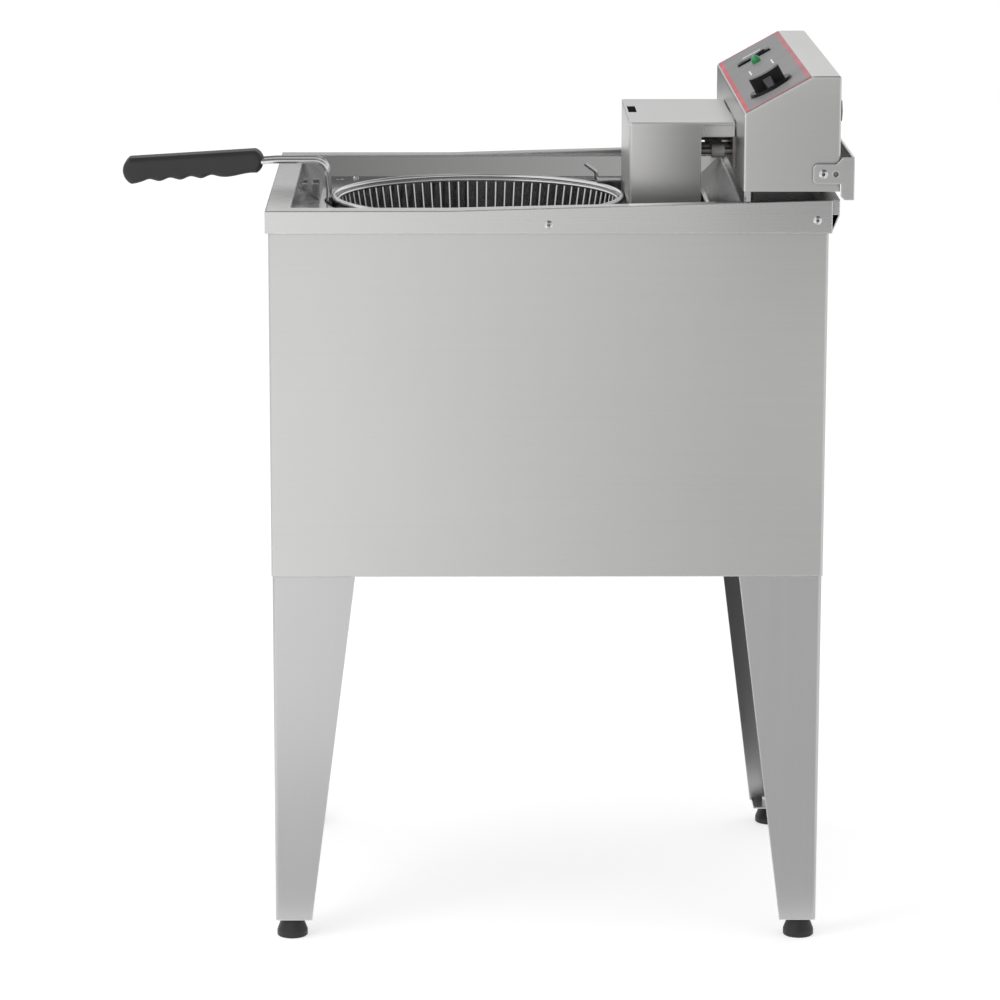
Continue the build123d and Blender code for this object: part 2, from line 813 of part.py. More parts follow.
# Thermostat behind the panel, its shaft and its knob
with BuildPart() as control_thermostat:
    with BuildSketch(panel_plane(knob_along, knob_side, -head_sheet)):
        Rectangle(thermostat_size, thermostat_size)
    extrude(amount=-thermostat_depth)
    with BuildSketch(panel_plane(knob_along, knob_side, -head_sheet)):
        Circle(shaft_radius + screw_gap)
    extrude(amount=-shaft_inside, mode=Mode.SUBTRACT)
save(control_thermostat, "control_thermostat")

knob_seat = overlay_thickness + 0.6
with BuildPart() as knob_shaft:
    with BuildSketch(panel_plane(knob_along, knob_side, touch_gap - head_sheet - shaft_inside)):
        Circle(shaft_radius)
    extrude(amount=head_sheet + shaft_inside + knob_seat + shaft_in_knob - 2 * touch_gap)
save(knob_shaft, "knob_shaft")

# The knob: a bar with a scooped top and a sloped pointer, on a round skirt
scoop_radius = ((knob_bar_length / 2) ** 2 + knob_scoop**2) / (2 * knob_scoop)
knob_base = panel_plane(knob_along, knob_side, knob_seat)
knob_across = Plane(origin=knob_base.origin, x_dir=(0, 1, 0), z_dir=knob_base.x_dir)
knob_upright = Plane(origin=knob_base.origin, x_dir=knob_base.x_dir, z_dir=(0, -1, 0))
with BuildPart() as thermostat_knob:
    with BuildSketch(knob_base):
        RectangleRounded(knob_bar_length, knob_bar_width, knob_bar_round)
    extrude(amount=knob_height)
    with BuildSketch(knob_upright):
        with Locations((0, knob_height - knob_scoop + scoop_radius)):
            Circle(scoop_radius)
    extrude(amount=knob_bar_width, both=True, mode=Mode.SUBTRACT)
    with BuildSketch(knob_across):
        with BuildLine():
            Polyline(
                (0, knob_skirt),
                (pointer_margin - knob_skirt_radius, knob_skirt),
                (-knob_bar_width / 2, knob_skirt + pointer_height),
                (0, knob_skirt + pointer_height),
                close=True,
            )
        make_face()
    extrude(amount=pointer_width / 2, both=True)
    with BuildSketch(knob_across):
        with BuildLine():
            Polyline(
                (0, 0),
                (knob_skirt_radius, 0),
                (knob_skirt_radius - knob_skirt / 3, knob_skirt),
                (0, knob_skirt),
                close=True,
            )
        make_face()
    revolve(axis=Axis(knob_base.origin, knob_base.z_dir))
    with BuildSketch(knob_base):
        Circle(shaft_radius + running_gap)
    extrude(amount=shaft_in_knob, mode=Mode.SUBTRACT)
save(thermostat_knob, "thermostat_knob")

# Rocker switch: housing with its bezel, and rocker
pocket_depth = rocker_height + 5.0
pivot_at = panel_plane(switch_along, switch_side, overlay_thickness + bezel_height - pivot_depth).origin
pivot_half = rocker_width / 2 + touch_gap + pivot_reach
with BuildPart() as switch_housing:
    with BuildSketch(panel_plane(switch_along, switch_side, overlay_thickness)):
        Rectangle(switch_length, switch_width)
    extrude(amount=bezel_height)
    with BuildSketch(panel_plane(switch_along, switch_side, overlay_thickness)):
        Rectangle(switch_length - 2 * switch_rim, switch_width - switch_rim)
    extrude(amount=-switch_depth)
    with BuildSketch(panel_plane(switch_along, switch_side, overlay_thickness + bezel_height)):
        Rectangle(rocker_length + 2.0, rocker_width + 2 * touch_gap)
    extrude(amount=-pocket_depth, mode=Mode.SUBTRACT)
    with BuildSketch(Plane(origin=pivot_at, x_dir=(1, 0, 0), z_dir=(0, 1, 0))):
        Circle(pivot_radius + running_gap)
    extrude(amount=pivot_half + touch_gap, both=True, mode=Mode.SUBTRACT)
save(switch_housing, "switch_housing")

rocker_base = panel_plane(switch_along, switch_side, overlay_thickness + bezel_height - 1.0)
rocker_plane = rocker_base.rotated((0, -rocker_tilt, 0))
with BuildPart() as switch_rocker:
    with BuildSketch(rocker_plane):
        Rectangle(rocker_length, rocker_width)
    extrude(amount=-rocker_height * 0.6)
    with BuildSketch(rocker_plane):
        Rectangle(rocker_length - 2, rocker_width - 1)
    extrude(amount=rocker_height * 0.4, taper=25)
    with BuildSketch(Plane(origin=pivot_at, x_dir=(1, 0, 0), z_dir=(0, 1, 0))):
        Circle(pivot_radius)
    extrude(amount=pivot_half, both=True)
save(switch_rocker, "switch_rocker")

# Domed pilot lamp beside the switch
with BuildPart() as pilot_lamp:
    seat = panel_plane(switch_along, lamp_side, overlay_thickness)
    with BuildSketch(Plane(origin=seat.origin, x_dir=(0, 1, 0), z_dir=seat.x_dir)):
        with BuildLine():
            shoulder = (lamp_radius, lamp_height - lamp_radius)
            bulge = lamp_radius * sqrt(0.5)
            crown = (0, lamp_height)
            Polyline(crown, (0, -lamp_inside), (lamp_stem, -lamp_inside), (lamp_stem, 0))
            Polyline((lamp_stem, 0), (lamp_radius, 0), shoulder)
            ThreePointArc(shoulder, (bulge, lamp_height - lamp_radius + bulge), crown)
        make_face()
    revolve(axis=Axis(seat.origin, seat.z_dir))
save(pilot_lamp, "pilot_lamp")

# Parts wired inside the head
cover_top = head_bottom + head_sheet
contactor_x = head_front + contactor_behind
upright = (Align.CENTER, Align.CENTER, Align.MIN)
with BuildPart(Plane.XY.offset(cover_top)) as contactor:
    with Locations((contactor_x, contactor_side)):
        Box(contactor_size - 6, contactor_size, contactor_height, align=upright)
        Box(contactor_size / 2 - 2, contactor_size, contactor_height + 8, align=upright)
save(contactor, "contactor")

terminal_x = head_front + terminal_behind
with BuildPart(Plane.XY.offset(cover_top)) as terminal_block:
    with Locations((terminal_x, terminal_side)):
        Box(terminal_height - 2, 5 * terminal_pitch + 2, terminal_height, align=upright)
    with BuildSketch(Plane.XY.offset(cover_top + terminal_height)):
        for step in range(5):
            with Locations((terminal_x, terminal_side + (step - 2) * terminal_pitch)):
                Circle(terminal_pitch / 4)
    extrude(amount=-terminal_pitch / 2, mode=Mode.SUBTRACT)
save(terminal_block, "terminal_block")

with BuildPart() as cable_gland:
    with BuildSketch(Plane.YZ.offset(head_rear)):
        with Locations((gland_side, gland_height)):
            RegularPolygon(gland_radius * 1.5, 6)
    extrude(amount=gland_reach)
    with BuildSketch(Plane.YZ.offset(head_rear)):
        with Locations((gland_side, gland_height)):
            Circle(gland_radius)
    extrude(amount=-gland_reach - 3)
    with BuildSketch(Plane.YZ.offset(head_rear)):
        with Locations((gland_side, gland_height)):
            Circle(cable_radius)
    extrude(amount=2 * gland_reach, both=True, mode=Mode.SUBTRACT)
save(cable_gland, "cable_gland")

with BuildPart() as limit_thermostat:
    with BuildSketch(Plane.YZ.offset(head_rear - head_sheet)):
        with Locations((reset_side, reset_height)):
            Circle(reset_radius * 3.4)
    extrude(amount=-26)
    with BuildSketch(Plane.YZ.offset(head_rear - head_sheet)):
        with Locations((reset_side, reset_height)):
            Circle(reset_radius + running_gap)
    extrude(amount=-14, mode=Mode.SUBTRACT)
save(limit_thermostat, "limit_thermostat")

with BuildPart() as reset_button:
    with BuildSketch(Plane.YZ.offset(head_rear + reset_reach)):
        with Locations((reset_side, reset_height)):
            Circle(reset_radius)
    extrude(amount=-(reset_reach + head_sheet + 8))
    chamfer(edges().group_by(Axis.X)[-1], 0.8)
save(reset_button, "reset_button")

# Guard over the element's risers, with two tabs under its top that reach the head
with BuildPart() as element_guard:
    with BuildSketch(Plane.XY.offset(guard_bottom)):
        with Locations((guard_front + guard_reach / 2, 0)):
            Rectangle(guard_reach, guard_width)
    extrude(amount=guard_top - guard_bottom)
    front_edges = edges().group_by(Axis.X)[0].filter_by(Axis.Z)
    fillet(front_edges, guard_bend)
    fillet(edges().group_by(Axis.Z)[-1].filter_by(lambda e: e.center().X < guard_rear - 1), guard_bend / 2)
    with BuildSketch(Plane.XY.offset(guard_bottom)):
        with Locations((guard_front + guard_sheet + guard_reach / 2, 0)):
            Rectangle(guard_reach, guard_width - 2 * guard_sheet)
    extrude(amount=guard_top - guard_sheet - guard_bottom, mode=Mode.SUBTRACT)
    with BuildSketch(Plane.XZ):
        with Locations((guard_front + guard_wall + guard_reach / 2, guard_bottom)):
            Rectangle(guard_reach, 2 * (guard_top - guard_band - guard_bottom))
    extrude(amount=guard_width, both=True, mode=Mode.SUBTRACT)
    with BuildSketch(Plane.XY.offset(guard_top)):
        with Locations((guard_front + guard_bend + guard_slot_width / 2, guard_slot_side)):
            Rectangle(guard_slot_width, guard_slot_length)
    extrude(amount=-2 * guard_bend, mode=Mode.SUBTRACT)
    recess_front = guard_front + guard_wall + guard_flange
    recess_rear = guard_rear - guard_flange / 2
    with BuildSketch(Plane.XY.offset(guard_top - guard_band)):
        for sign in (-1, 1):
            with Locations(((recess_front + recess_rear) / 2, sign * guard_half)):
                Rectangle(recess_rear - recess_front, 2 * guard_recess)
    extrude(amount=guard_band - guard_bend, mode=Mode.SUBTRACT)
    with BuildSketch(Plane.XY.offset(guard_top - 2 * guard_sheet)):
        for sign in (-1, 1):
            with Locations((head_front - guard_tab / 2, sign * (guard_half - guard_tab))):
                Rectangle(guard_tab, guard_tab)
    extrude(amount=guard_sheet)
save(element_guard, "element_guard")

# Heating element: an outer and an inner hairpin that run down the rear and under the basket
loops = (
    (element_outer, element_front, element_entry),
    (element_inner, element_front + element_outer - element_inner, element_entry),
)
with BuildPart() as heating_element:
    for side, front, entry in loops:
        with BuildLine() as tube_path:
            FilletPolyline(
                (entry_end, -side, entry),
                (element_riser, -side, entry),
                (element_riser, -side, element_height),
                (front, -side, element_height),
                (front, side, element_height),
                (element_riser, side, element_height),
                (element_riser, side, entry),
                (entry_end, side, entry),
                radius=element_bend,
            )
        with BuildSketch(Plane(origin=tube_path.line @ 0, z_dir=tube_path.line % 0)):
            Circle(element_tube)
        sweep(path=tube_path.line)
save(heating_element, "heating_element")

tube_ends = [(sign * side, entry) for side, front, entry in loops for sign in (-1, 1)]
with BuildPart() as element_flange:
    with BuildSketch(Plane.YZ.offset(head_front)):
        with Locations((0, element_entry)):
            Rectangle(flange_width, flange_height)
        with Locations(*tube_ends):
            Circle(element_tube + running_gap, mode=Mode.SUBTRACT)
        for sign in (-1, 1):
            with Locations((sign * sensor_side, element_entry)):
                Circle(capillary_radius + screw_gap, mode=Mode.SUBTRACT)
    extrude(amount=-flange_thickness)
save(element_flange, "element_flange")

with BuildPart() as element_terminals:
    with BuildSketch(Plane.YZ.offset(entry_end + wire_gap)):
        with Locations(*tube_ends):
            Circle(element_tube * 0.9)
    extrude(amount=9)
    with BuildSketch(Plane.YZ.offset(entry_end + 9)):
        with Locations(*tube_ends):
            Circle(element_tube / 2)
    extrude(amount=12)
    with BuildSketch(Plane.YZ.offset(head_front - flange_thickness - bead_gap)):
        with Locations(*tube_ends):
            Circle(bead_radius)
            Circle(element_tube + running_gap, mode=Mode.SUBTRACT)
    extrude(amount=-bead_length)
save(element_terminals, "element_terminals")

# Flat bars that clamp the two hairpins and carry the basket
with BuildPart() as element_clamps:
    for x in clamps_at:
        for z in (clamp_top - clamp_bar, 2 * element_height - clamp_top):
            with BuildSketch(Plane.XY.offset(z)):
                with Locations((x, 0)):
                    Rectangle(clamp_width, 2 * element_outer + 24)
            extrude(amount=clamp_bar)
        with BuildSketch(Plane.XY.offset(2 * element_height - clamp_top)):
            for side in (-clamp_pillar, 0, clamp_pillar):
                with Locations((x, side)):
                    Rectangle(clamp_width - 2, 7)
        extrude(amount=2 * (clamp_top - element_height))
save(element_clamps, "element_clamps")

# Sensors of the control and limit thermostats between the hairpins
for name, sign in (("control_sensor", -1), ("limit_sensor", 1)):
    side = sign * sensor_side
    with BuildPart() as sensor:
        with BuildSketch(Plane.YZ.offset(clamps_at[0] + clamp_width)):
            with Locations((side, element_height)):
                Circle(sensor_radius)
        extrude(amount=sensor_length)
        bulb_end = clamps_at[0] + clamp_width + sensor_length
        with BuildLine() as thread_path:
            FilletPolyline(
                (bulb_end - 2, side, element_height),
                (element_riser - 18, side, element_height),
                (element_riser - 18, side, element_entry),
                (entry_end, side, element_entry),
                radius=element_bend * 0.7,
            )
        with BuildSketch(Plane(origin=thread_path.line @ 0, z_dir=thread_path.line % 0)):
            Circle(capillary_radius)
        sweep(path=thread_path.line)
    save(sensor, name)

# Yoke: a hook plate on each end of the head, joined by a plate across the rear, resting on the rear lip
yoke_foot = lip_top + touch_gap
yoke_inner = head_half + yoke_spacer
plate_front = yoke_rear - yoke_plate
arm_low = yoke_pivot_height - yoke_arm / 2
arm_high = yoke_pivot_height + yoke_arm / 2
with BuildPart() as rear_yoke:
    for sign in sides.values():
        with BuildSketch(Plane.XZ.offset(-sign * yoke_inner)):
            with BuildLine():
                Polyline(
                    (yoke_pivot - yoke_arm / 2, arm_low),
                    (plate_front + yoke_notch, arm_low),
                    (plate_front + yoke_notch, yoke_foot + 4),
                    (plate_front + yoke_notch + 4, yoke_foot),
                    (yoke_rear, yoke_foot),
                    (yoke_rear, yoke_plate_top),
                    (plate_front + 7, yoke_plate_top),
                    (plate_front, arm_high),
                    (yoke_pivot - yoke_arm / 2, arm_high),
                    close=True,
                )
            make_face()
            ends = [v for v in vertices() if v.X < yoke_pivot]
            fillet(ends, yoke_arm / 4)
            with Locations((yoke_pivot, yoke_pivot_height)):
                Circle(yoke_screw_radius + screw_gap, mode=Mode.SUBTRACT)
            with Locations((plate_front - 1, yoke_pivot_height)):
                Circle(yoke_hole_radius, mode=Mode.SUBTRACT)
        extrude(amount=-sign * yoke_sheet)
    with BuildSketch(Plane.YZ.offset(yoke_rear - yoke_sheet)):
        with Locations((0, (yoke_foot + yoke_plate_top) / 2)):
            Rectangle(2 * yoke_inner + 2 * yoke_sheet, yoke_plate_top - yoke_foot)
    extrude(amount=yoke_sheet)
    with BuildSketch(Plane.XY.offset(yoke_foot)):
        with Locations(((rim_rear + 1 + yoke_rear) / 2, 0)):
            Rectangle(yoke_rear - rim_rear - 1, yoke_foot_width)
    extrude(amount=yoke_sheet)
save(rear_yoke, "rear_yoke")

with BuildPart() as yoke_spacers:
    for sign in sides.values():
        with BuildSketch(side_plane(yoke_pivot, sign * head_half, yoke_pivot_height)):
            Circle(yoke_screw_radius * 2.3)
            Circle(yoke_screw_radius + screw_gap, mode=Mode.SUBTRACT)
        extrude(amount=yoke_spacer)
save(yoke_spacers, "yoke_spacers")

with BuildPart() as yoke_screws:
    for sign in sides.values():
        seat = side_plane(yoke_pivot, sign * (yoke_inner + yoke_sheet), yoke_pivot_height)
        button_screw(seat, yoke_screw_radius, 3.0, yoke_sheet + yoke_spacer + head_sheet + 4)
save(yoke_screws, "yoke_screws")

# Short stands under the head's front corners, resting on the rim's hem
stand_foot = rim_top_at(stand_x + stand_radius) + touch_gap
with BuildPart() as head_stands:
    with BuildSketch(Plane.XY.offset(stand_foot)):
        for sign in sides.values():
            with Locations((stand_x, sign * stand_side)):
                RegularPolygon(stand_radius, 6)
    extrude(amount=head_bottom - stand_foot)
save(head_stands, "head_stands")

# Basket: top hoop, wire ring, tapered wall of wires and a wire floor
with BuildPart(Plane.XY.offset(hoop_height)) as basket_hoop:
    Torus(hoop_radius, hoop_wire)
save(basket_hoop, "basket_hoop")

wire_drop = wire_top - wire_bottom
wire_tilt = degrees(atan2(basket_taper, wire_drop))
with BuildPart(Plane.XY.offset(hoop_height - ring_drop)) as basket_ring:
    Torus(ring_radius, ring_wire)
save(basket_ring, "basket_ring")

wire_middle = (wire_top_radius + wire_bottom_radius) / 2
with BuildPart(Plane.XY.offset((wire_top + wire_bottom) / 2)) as basket_wall:
    with PolarLocations(wire_middle, side_wire_count):
        Cylinder(side_wire, hypot(basket_taper, wire_drop), rotation=(0, wire_tilt, 0))
save(basket_wall, "basket_wall")

floor_ring_radius = wire_bottom_radius - side_wire - ring_wire - 2 * wire_gap
floor_ring_height = basket_bottom + 2 * basket_floor_wire + ring_wire + wire_gap
with BuildPart(Plane.XY.offset(floor_ring_height)) as basket_floor_ring:
    Torus(floor_ring_radius, ring_wire)
save(basket_floor_ring, "basket_floor_ring")

floor_rows = int(floor_ring_radius / basket_floor_pitch)
with BuildPart(Plane.XY.offset(basket_bottom + basket_floor_wire)) as basket_floor:
    for row in range(-floor_rows, floor_rows + 1):
        reach = sqrt(floor_ring_radius**2 - (row * basket_floor_pitch) ** 2)
        with Locations((0, row * basket_floor_pitch)):
            Cylinder(basket_floor_wire, 2 * reach, rotation=(0, 90, 0))
save(basket_floor, "basket_floor")

# Hook on the hoop at the rear, with a bar that reaches towards the guard
hook_x = hoop_radius * cos(radians(hook_angle))
hook_y = hoop_radius * sin(radians(hook_angle))
hook_foot = hoop_height + hoop_wire + hook_wire + wire_gap
hook_end = guard_front - hook_end_gap
with BuildPart() as basket_hook:
    with BuildLine() as hook_path:
        FilletPolyline(
            (hook_end, hook_y, hook_foot),
            (hook_x, hook_y, hook_foot),
            (hook_x, hook_y, hook_foot + hook_rise),
            (hook_x - hook_arm, hook_y, hook_foot + 2 * hook_rise),
            radius=hook_wire * 1.6,
        )
    with BuildSketch(Plane(origin=hook_path.line @ 0, z_dir=hook_path.line % 0)):
        Circle(hook_wire)
    sweep(path=hook_path.line)
save(basket_hook, "basket_hook")

# Handle: two rods on the hoop's outside that rise, cross the rim and end inside the grip
grip_run = cos(radians(grip_slope))
grip_fall = sin(radians(grip_slope))
rod_end_x = grip_inner - rod_in_grip * grip_run
rod_end_z = rod_height - rod_in_grip * grip_fall
rod_beside = hoop_radius + hoop_wire + rod_radius + 2 * wire_gap
rod_foot_x = -sqrt(rod_beside**2 - rod_side**2)
with BuildPart() as handle_rods:
    for sign in (-1, 1):
        side = sign * rod_side
        with BuildLine() as rod_path:
            FilletPolyline(
                (rod_end_x, side, rod_end_z),
                (grip_inner + rod_bend, side, rod_height + rod_bend * grip_fall),
                (rod_foot_x - rod_lean, side, rod_height + rod_bend * grip_fall),
                (rod_foot_x, side, hoop_height + rod_straight),
                (rod_foot_x, side, hoop_height - rod_below),
                radius=rod_bend,
            )
        with BuildSketch(Plane(origin=rod_path.line @ 0, z_dir=rod_path.line % 0)):
            Circle(rod_radius)
        sweep(path=rod_path.line)
save(handle_rods, "handle_rods")

grip_plane = Plane(
    origin=(grip_inner, 0, rod_height), x_dir=(-grip_run, 0, -grip_fall), z_dir=(0, 1, 0)
)
grip_half = grip_thickness / 2
groove_pitch = grip_length * 0.148
groove_start = grip_length * 0.30
groove_points = []
for step in range(17):
    along = groove_start + step * groove_pitch / 4
    wave = grip_groove / 2 * (1 - cos(2 * pi * step / 4))
    groove_points.append((along, wave - grip_half))
groove_points = [(groove_start * 0.6, -grip_half + 1.0)] + groove_points
with BuildPart() as handle_grip:
    with BuildSketch(grip_plane):
        with BuildLine():
            inner_low = (grip_edge, 2.0 - grip_half)
            inner_high = (grip_edge, grip_half - 1.0)
            outer_high = (grip_length - grip_edge, grip_half)
            outer_low = (grip_length - grip_edge, -grip_half - 1.0)
            Line(inner_high, outer_high)
            ThreePointArc(outer_high, (grip_length, 0), outer_low)
            Spline(inner_low, *groove_points, outer_low)
            ThreePointArc(inner_low, (0, 0.5), inner_high)
        make_face()
    extrude(amount=grip_width / 2, both=True)
    fillet([e for e in edges() if abs(abs(e.center().Y) - grip_width / 2) < 0.01], grip_edge * 0.7)
    for sign in (-1, 1):
        bore = Plane(
            origin=(grip_inner + 5 * grip_run, sign * rod_side, rod_height + 5 * grip_fall),
            z_dir=(-grip_run, 0, -grip_fall),
        )
        with BuildSketch(bore):
            Circle(rod_radius + running_gap)
        extrude(amount=rod_in_grip + 6, mode=Mode.SUBTRACT)
save(handle_grip, "handle_grip")
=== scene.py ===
"""Looks of the electric deep fryer: materials, panel print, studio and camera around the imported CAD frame."""

import json
import math

import bmesh
import bpy
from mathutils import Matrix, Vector


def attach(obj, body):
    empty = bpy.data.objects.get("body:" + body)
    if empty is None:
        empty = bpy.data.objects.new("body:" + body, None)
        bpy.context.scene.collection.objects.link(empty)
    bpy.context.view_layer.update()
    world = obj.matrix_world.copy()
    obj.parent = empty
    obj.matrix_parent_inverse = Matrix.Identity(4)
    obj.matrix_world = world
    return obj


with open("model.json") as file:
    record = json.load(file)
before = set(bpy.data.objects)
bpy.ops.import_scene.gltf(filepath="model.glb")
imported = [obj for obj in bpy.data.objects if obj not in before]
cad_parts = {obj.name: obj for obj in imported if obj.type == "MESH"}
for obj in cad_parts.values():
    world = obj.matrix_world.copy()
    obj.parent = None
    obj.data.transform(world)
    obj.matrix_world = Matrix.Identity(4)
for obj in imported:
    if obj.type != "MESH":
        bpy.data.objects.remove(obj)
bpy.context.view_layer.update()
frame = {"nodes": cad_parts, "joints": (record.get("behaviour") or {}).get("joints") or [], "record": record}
nodes = frame["nodes"]
joints = {joint["name"]: joint for joint in frame["joints"]}
scene = bpy.context.scene
scene.view_settings.view_transform = "Standard"

# Camera at the photograph's viewing angle, in metres and in pixels of a square picture
PICTURE_PIXELS = 1000
SENSOR = 36.0
FOCAL_PIXELS = 4113.4
CAMERA_AT = (-0.0287, -4.8842, 1.5554)
CAMERA_PITCH = math.radians(11.904)
CAMERA_YAW = math.radians(-0.226)
SHIFT_X = 0.03
SHIFT_Y = -0.04
CLIP_END = 60.0


def place_camera():
    """Camera of the photograph."""
    lens = bpy.data.cameras.new("camera")
    lens.sensor_width = SENSOR
    lens.lens = FOCAL_PIXELS / PICTURE_PIXELS * SENSOR
    lens.shift_x = SHIFT_X
    lens.shift_y = SHIFT_Y
    lens.clip_end = CLIP_END
    camera = bpy.data.objects.new("camera", lens)
    camera.location = CAMERA_AT
    camera.rotation_euler = (math.pi / 2 - CAMERA_PITCH, 0, CAMERA_YAW)
    scene.collection.objects.link(camera)
    scene.camera = camera


# Noise: the range that most of its values lie in, and its usual and its softer detail
NOISE_LOW = 0.3
NOISE_HIGH = 0.7
DETAIL = 3.0
SOFT_DETAIL = 2.0

# Samples of the corner and recess measures, and the places of the mix node's sockets
CORNER_SAMPLES = 4
RECESS_SAMPLES = 8
MIX_VALUES = (2, 3)
MIX_VALUE_RESULT = 0
MIX_COLORS = (6, 7)
MIX_COLOR_RESULT = 2
WHITE = (1, 1, 1, 1)


def grey(value):
    return (value, value, value)


def shade(color, factor):
    return tuple(channel * factor for channel in color)


class NodeTree:
    """Short calls for the nodes of a material or of the world."""

    def __init__(self, tree):
        self.tree = tree

    def node(self, kind, **settings):
        made = self.tree.nodes.new(kind)
        for key, value in settings.items():
            setattr(made, key, value)
        return made

    def link(self, start, end):
        self.tree.links.new(start, end)

    def ramp(self, value, low, high, start=NOISE_LOW, end=NOISE_HIGH):
        """Map a value between start and end onto the range from low to high."""
        made = self.node("ShaderNodeMapRange")
        made.inputs["From Min"].default_value = start
        made.inputs["From Max"].default_value = end
        made.inputs["To Min"].default_value = low
        made.inputs["To Max"].default_value = high
        self.link(value, made.inputs["Value"])
        return made.outputs["Result"]

    def math(self, operation, first, second):
        made = self.node("ShaderNodeMath", operation=operation)
        for socket, value in zip(made.inputs, (first, second)):
            if isinstance(value, (int, float)):
                socket.default_value = value
            else:
                self.link(value, socket)
        return made.outputs[0]

    def axes(self, vector):
        """The X, Y and Z of a vector."""
        made = self.node("ShaderNodeSeparateXYZ")
        self.link(vector, made.inputs[0])
        return made.outputs

    def is_seen(self):
        """1 for what the camera, the metal and clear pieces see, 0 for plain light."""
        path = self.node("ShaderNodeLightPath").outputs
        seen = self.math("MAXIMUM", path["Is Camera Ray"], path["Is Transmission Ray"])
        return self.math("MAXIMUM", seen, path["Is Glossy Ray"])


class Shader(NodeTree):
    """A new material with a Principled shader."""

    def __init__(self, name, color, roughness, metallic=0.0, **sockets):
        self.material = bpy.data.materials.new(name)
        self.material.use_nodes = True
        super().__init__(self.material.node_tree)
        self.shader = self.tree.nodes["Principled BSDF"]
        self.shader.inputs["Base Color"].default_value = (*color, 1)
        self.shader.inputs["Roughness"].default_value = roughness
        self.shader.inputs["Metallic"].default_value = metallic
        for socket, value in sockets.items():
            self.shader.inputs[socket.replace("_", " ")].default_value = value
        self.place = self.node("ShaderNodeTexCoord").outputs["Object"]

    def noise(self, scale, detail=DETAIL, rough=0.5, stretch=None):
        """Noise in metres of the part's own frame; stretch scales it along each axis."""
        source = self.place
        if stretch:
            mapping = self.node("ShaderNodeMapping")
            mapping.inputs["Scale"].default_value = stretch
            self.link(source, mapping.inputs["Vector"])
            source = mapping.outputs["Vector"]
        made = self.node("ShaderNodeTexNoise")
        made.inputs["Scale"].default_value = scale
        made.inputs["Detail"].default_value = detail
        made.inputs["Roughness"].default_value = rough
        self.link(source, made.inputs["Vector"])
        return made.outputs["Fac"]

    def choose(self, share, first, second):
        """Value between two values by a share from 0 to 1."""
        made = self.node("ShaderNodeMix", data_type="FLOAT")
        self.link(share, made.inputs[0])
        for place, value in zip(MIX_VALUES, (first, second)):
            self.link(value, made.inputs[place])
        return made.outputs[MIX_VALUE_RESULT]

    def mix(self, share, first, second):
        """Colour between two colours, each fixed or another node's, by a share from 0 to 1."""
        made = self.node("ShaderNodeMix", data_type="RGBA")
        self.link(share, made.inputs[0])
        for place, value in zip(MIX_COLORS, (first, second)):
            if isinstance(value, tuple):
                made.inputs[place].default_value = (*value, 1)
            else:
                self.link(value, made.inputs[place])
        return made.outputs[MIX_COLOR_RESULT]

    def shades(self, noise, color, low, high):
        """A colour that a noise varies between two factors."""
        return self.mix(self.ramp(noise, 0, 1), shade(color, low), shade(color, high))

    def paint_recess_shade(self, unshaded, reach, tint, span, only_local):
        """Painted shade: darken a colour in recesses and seams narrower than the reach, where shade falls."""
        recess = self.node("ShaderNodeAmbientOcclusion", samples=RECESS_SAMPLES, only_local=only_local)
        recess.inputs["Distance"].default_value = reach
        return self.mix(self.ramp(recess.outputs["AO"], 0, 1, *span), grey(tint), unshaded)

    def rounded(self, radius):
        """Surface direction with the corners rounded in the light."""
        made = self.node("ShaderNodeBevel", samples=CORNER_SAMPLES)
        made.inputs["Radius"].default_value = radius
        return made.outputs["Normal"]

    def paint_corner_highlight(self, tone_and_painted_light, rounded, normal, tint, span):
        """Painted highlight: brighten a colour along the corners, where they would catch the light."""
        along = self.node("ShaderNodeVectorMath", operation="DOT_PRODUCT")
        self.link(rounded, along.inputs[0])
        self.link(normal, along.inputs[1])
        return self.mix(self.ramp(along.outputs["Value"], 1, 0, *span), tone_and_painted_light, grey(tint))

    def color(self, output):
        self.link(output, self.shader.inputs["Base Color"])

    def roughness(self, output):
        self.link(output, self.shader.inputs["Roughness"])

    def wear(self, noise, roughness, low, high):
        """Let a noise vary the roughness between two factors."""
        self.roughness(self.ramp(noise, roughness * low, roughness * high))

    def glow(self, strength):
        """White light of its own."""
        self.shader.inputs["Emission Color"].default_value = WHITE
        self.link(strength, self.shader.inputs["Emission Strength"])

    def bump(self, height, strength, depth, rounded=None):
        """Fine relief, on rounded corners where they are given."""
        made = self.node("ShaderNodeBump")
        if rounded:
            self.link(rounded, made.inputs["Normal"])
        made.inputs["Strength"].default_value = strength
        made.inputs["Distance"].default_value = depth
        self.link(height, made.inputs["Height"])
        self.link(made.outputs["Normal"], self.shader.inputs["Normal"])


# Brush grain: waves per metre along and across the streaks, relief in metres and change of roughness
STREAK = 3.0
FINE = 900.0
GRAIN_ROUGH = 0.7
GRAIN_DEPTH = 0.0002
GRAIN_WEAR = 0.025
CLOUD_WAVES = 5.0
CLOUD_WEAR = 0.02
LEVEL_NORMAL = 0.8

# Painted highlight on the corners, painted shade in seams and in recesses: reach in metres, brightness, and the
# span of each measure
CORNER_RADIUS = 0.002
CORNER_HIGHLIGHT = 0.95
CORNER_HIGHLIGHT_SPAN = (0.9, 0.995)
SEAM_SHADE_REACH = 0.006
SEAM_SHADE_TINT = 0.12
SEAM_SHADE_SPAN = (0.25, 0.75)
RECESS_SHADE_TINT = 0.03
RECESS_SHADE_SPAN = (0.45, 0.9)

# Drawing marks of bright metal: shades, change of roughness, and relief in metres
MARK_SHADES = (0.9, 1.05)
MARK_WEAR = (0.7, 1.4)
MARK_RELIEF = 0.06
MARK_DEPTH = 0.0001

